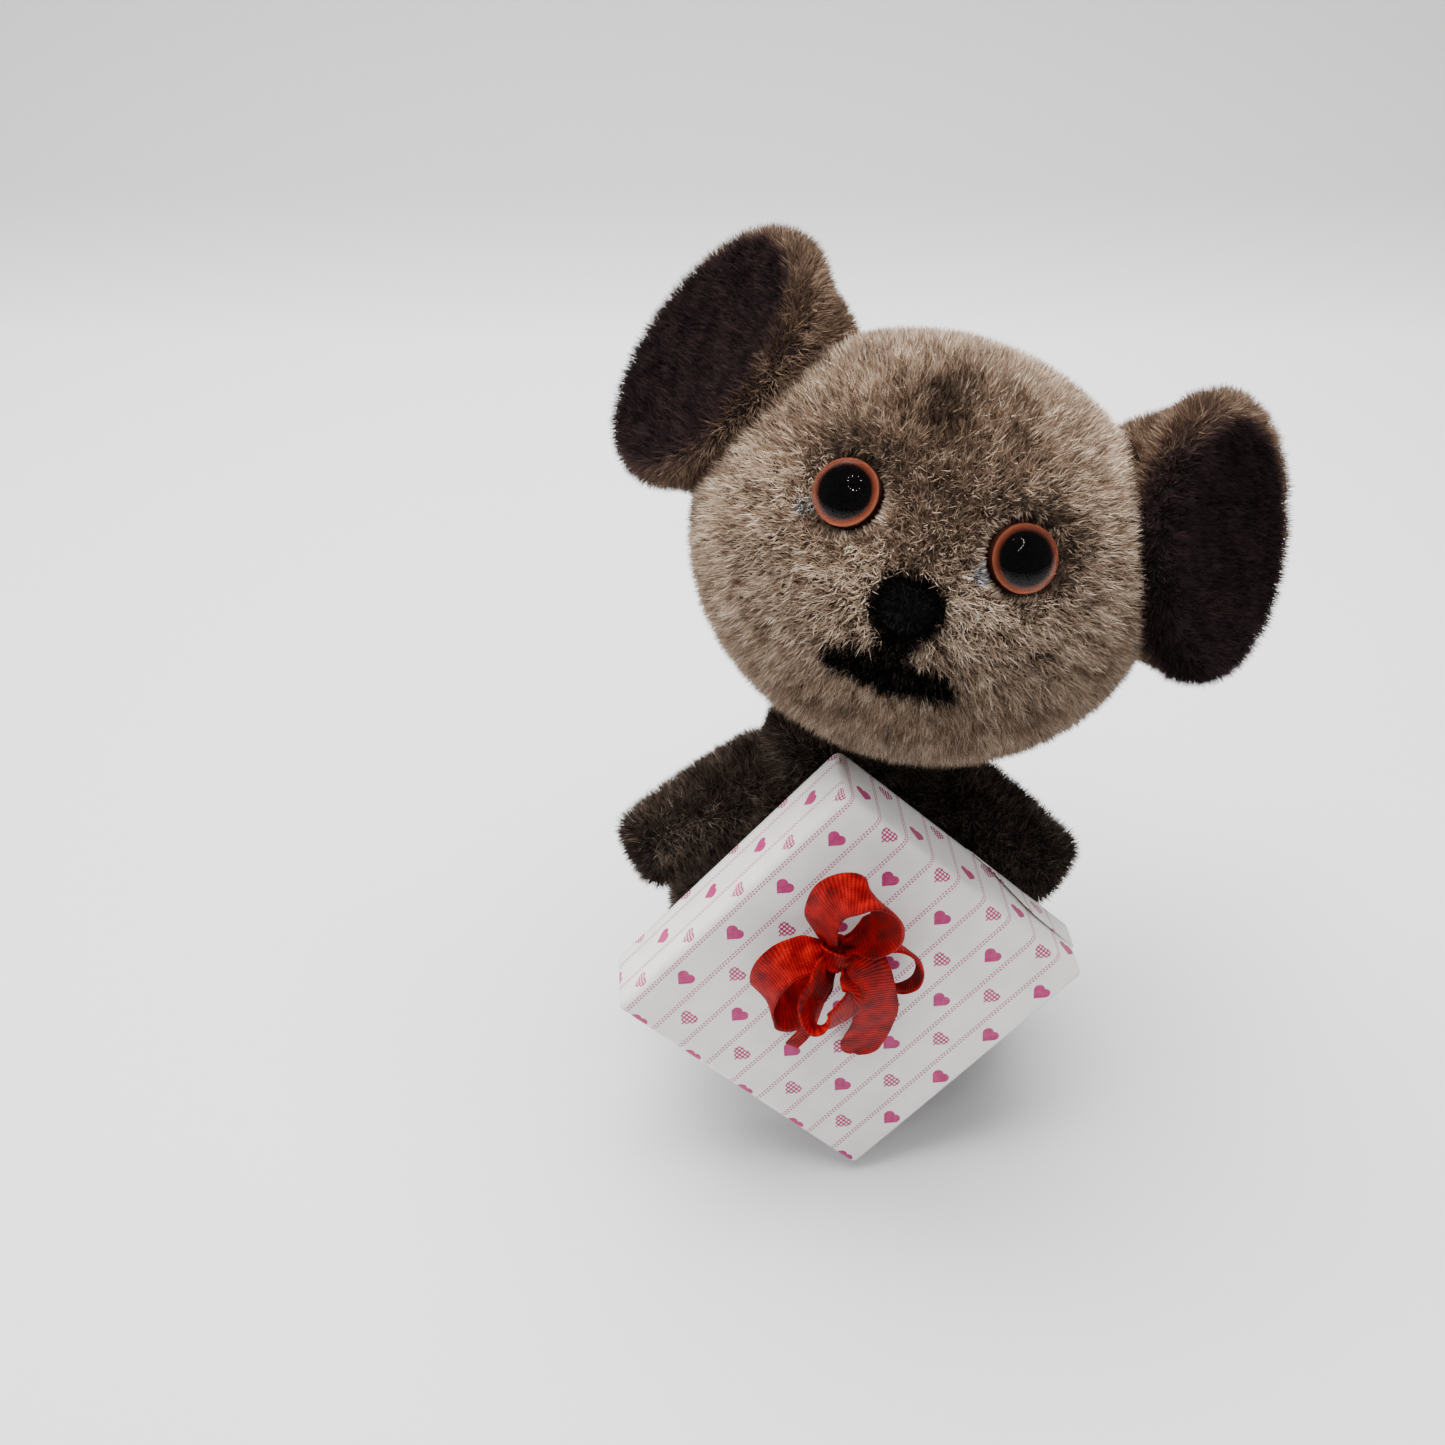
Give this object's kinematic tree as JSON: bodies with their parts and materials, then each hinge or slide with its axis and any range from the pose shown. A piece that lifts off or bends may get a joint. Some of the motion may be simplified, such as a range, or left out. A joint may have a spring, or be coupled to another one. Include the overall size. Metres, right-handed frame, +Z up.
{
  "type": "clockwork mouse",
  "caption": "Flocked clockwork toy mouse holding a wrapped gift box with a ribbon bow; a wound train behind the belly rocks its big-eared head.",
  "frame": {"origin": "centre of the bounding box in X and Y, on the plane the feet stand on", "axes": "+Z up, the mouse looks towards -Y, +X is the mouse's left"},
  "size_m": [0.0738, 0.0714, 0.0982],
  "materials": {
    "brown_flock": "mottled tan and dark brown flock",
    "dark_flock": "dark grey-brown flock",
    "ear_flock": "dense dark flock, lighter at the rim",
    "black_flock": "black flock",
    "eye_glass": "polished clear dome",
    "eye_iris": "red-brown iris with a black pupil",
    "steel": "plain steel",
    "brass": "plain brass",
    "key_metal": "polished brass",
    "spring_steel": "blued spring steel",
    "tin_plate": "tin plate",
    "glue": "dark adhesive pad",
    "gift_paper": "white wrapping paper with a printed heart pattern",
    "red_ribbon": "red satin ribbon"
  },
  "bodies": {
    "body": {"body_front_shell": "dark_flock", "body_back_shell": "dark_flock", "base_plate": "tin_plate", "base_screw_front": "steel", "base_screw_rear": "steel", "key_hole_collar": "tin_plate", "left_foot": "dark_flock", "right_foot": "dark_flock", "left_arm": "dark_flock", "right_arm": "dark_flock", "neck_plate": "steel", "neck_pin": "steel", "front_frame_plate": "steel", "rear_frame_plate": "steel", "frame_pillar_1": "steel", "frame_pillar_2": "steel", "frame_pillar_3": "steel", "frame_pillar_4": "steel", "mainspring": "spring_steel", "gift_box_base": "gift_paper", "glue_pad": "glue"},
    "winding": {"winding_arbor": "steel", "ratchet_wheel": "brass", "winding_key": "key_metal"},
    "great": {"great_wheel": "brass", "click_spring": "spring_steel"},
    "pawl": {"click": "steel"},
    "second": {"second_arbor": "steel", "second_wheel": "brass"},
    "crank": {"crank_arbor": "steel", "governor_wheel": "brass", "crank_disc": "steel"},
    "escape": {"escape_arbor": "steel", "escape_wheel": "brass"},
    "verge": {"verge": "steel"},
    "head": {"head_front_shell": "brown_flock", "head_back_shell": "brown_flock", "left_ear": "ear_flock", "right_ear": "ear_flock", "left_eye_glass": "eye_glass", "left_eye_iris": "eye_iris", "left_eye_washer": "steel", "right_eye_glass": "eye_glass", "right_eye_iris": "eye_iris", "right_eye_washer": "steel", "nose": "black_flock", "head_bearing": "brass"},
    "link": {"head_link": "steel"},
    "lid": {"gift_box_lid": "gift_paper", "ribbon_bow": "red_ribbon"}
  },
  "joints": [
    {"name": "key_turn", "type": "hinge", "parent": "body", "child": "winding", "pos_m": [-0.00961, 0.00347, 0.0235], "axis": [0, 1, 0], "continuous": true},
    {"name": "great_wheel_turn", "type": "hinge", "parent": "body", "child": "great", "pos_m": [-0.00961, 0.00347, 0.0235], "axis": [0, 1, 0], "continuous": true},
    {"name": "click_lift", "type": "hinge", "parent": "great", "child": "pawl", "pos_m": [-0.00521, 0.00347, 0.0269], "axis": [0, 1, 0], "range_deg": [0, 12], "stiffness_Nm_per_rad": 0.00002, "springref_deg": -11.46},
    {"name": "second_turn", "type": "hinge", "parent": "body", "child": "second", "pos_m": [-0.01681, 0.00347, 0.01638], "axis": [0, 1, 0], "continuous": true},
    {"name": "crank_turn", "type": "hinge", "parent": "body", "child": "crank", "pos_m": [-0.00961, 0.00347, 0.01267], "axis": [0, 1, 0], "continuous": true},
    {"name": "escape_turn", "type": "hinge", "parent": "body", "child": "escape", "pos_m": [-0.00242, 0.00347, 0.01529], "axis": [0, 1, 0], "continuous": true},
    {"name": "verge_rock", "type": "hinge", "parent": "body", "child": "verge", "pos_m": [0.00023, 0.00347, 0.0119], "axis": [0, 1, 0], "range_deg": [-6, 6]},
    {"name": "head_sway", "type": "hinge", "parent": "body", "child": "head", "pos_m": [-0.00961, -0.00203, 0.046], "axis": [0, 0.682, -0.7314], "range_deg": [-42, 0]},
    {"name": "link_swing", "type": "hinge", "parent": "head", "child": "link", "pos_m": [-0.00532, -0.00439, 0.04612], "axis": [0, 0.682, -0.7314], "range_deg": [0, 42]},
    {"name": "lid_slide", "type": "slide", "parent": "body", "child": "lid", "axis": [0.0519, -0.99, 0.1314], "range_m": [0, 0.015]}
  ],
  "couplings": [
    {"joint": "second_turn", "follows": "great_wheel_turn", "ratio": -4},
    {"joint": "crank_turn", "follows": "great_wheel_turn", "ratio": 14},
    {"joint": "escape_turn", "follows": "great_wheel_turn", "ratio": -45.5},
    {"joint": "link_swing", "follows": "head_sway", "ratio": -1}
  ]
}
